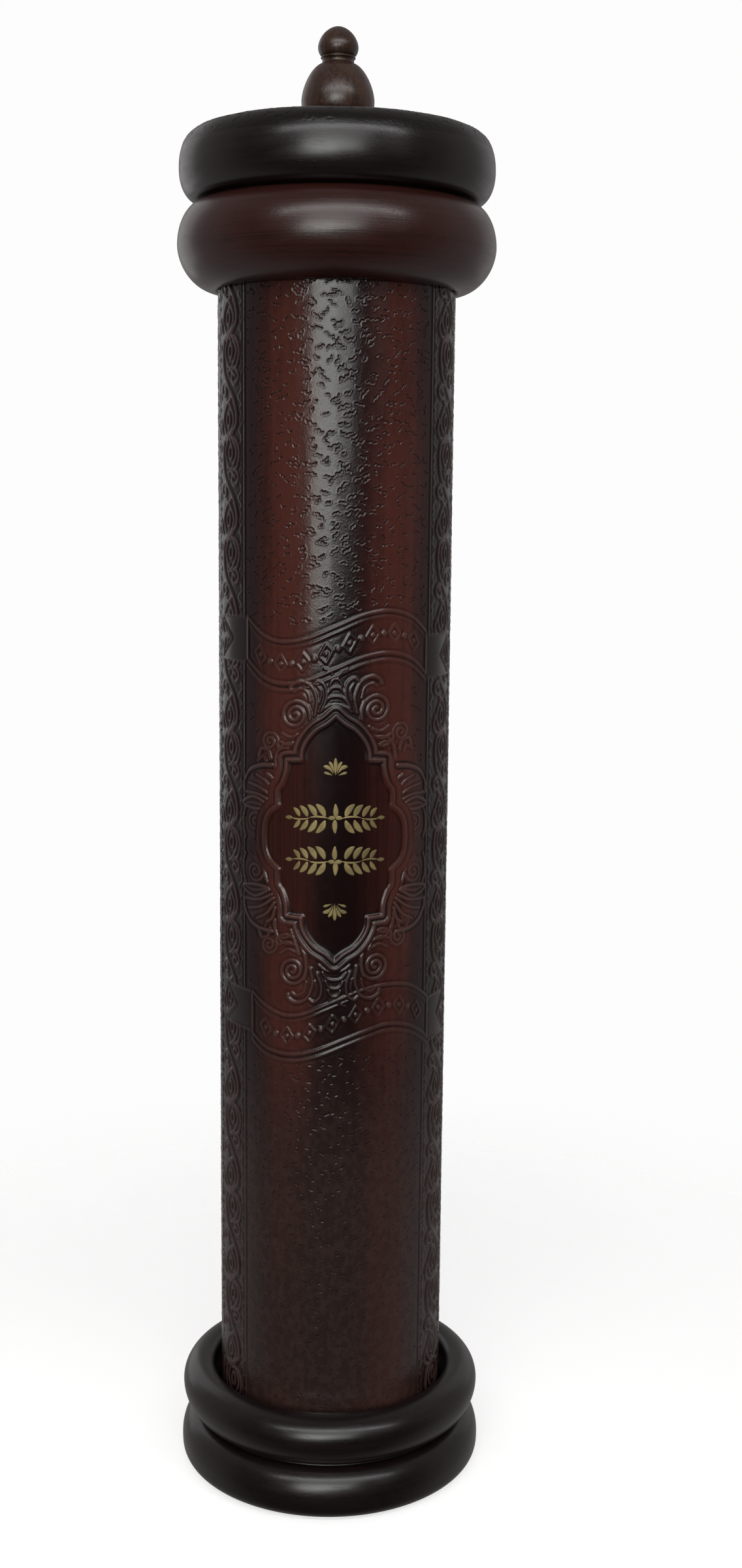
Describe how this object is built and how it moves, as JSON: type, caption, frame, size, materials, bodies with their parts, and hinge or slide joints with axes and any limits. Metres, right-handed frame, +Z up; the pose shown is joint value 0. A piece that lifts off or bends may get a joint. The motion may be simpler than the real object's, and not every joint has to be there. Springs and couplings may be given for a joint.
{
  "type": "scroll case",
  "caption": "Upright round scroll case: a tooled leather tube between turned dark wood mouldings, with a felt foot, a velvet lining and a lift-off plug lid with a finial.",
  "frame": {"origin": "centre of the felt foot, on the surface that the case stands on", "axes": "+Z up along the axis of the tube, -Y towards the front of the tooled leather, +X to its right"},
  "size_m": [0.095, 0.095, 0.438],
  "materials": {
    "ebonised_wood": "satin lacquer, almost black",
    "collar_wood": "satin lacquer, dark red brown",
    "finial_wood": "dark walnut, satin",
    "plain_wood": "bare turned wood",
    "tube_board": "wound board",
    "tooled_leather": "embossed, glossy dark red brown",
    "gold_foil": "stamped foil, soft sheen",
    "velvet": "short pile, dark red",
    "felt": "pressed felt, black"
  },
  "bodies": {
    "case": {"base_foot": "ebonised_wood", "base_collar": "ebonised_wood", "base_plug": "plain_wood", "foot_felt": "felt", "core_tube": "tube_board", "leather_wrap": "tooled_leather", "gold_foil": "gold_foil", "lining_sleeve": "velvet", "floor_lining": "velvet", "top_collar": "collar_wood"},
    "lid": {"lid_top": "ebonised_wood", "lid_leather": "tooled_leather", "lid_plug": "plain_wood", "plug_felt": "felt", "plug_lining": "velvet", "finial": "finial_wood", "finial_dowel": "plain_wood"}
  },
  "joints": [
    {"name": "lid_lift", "type": "slide", "parent": "case", "child": "lid", "axis": [0, 0, 1], "range_m": [0, 0.12]}
  ]
}
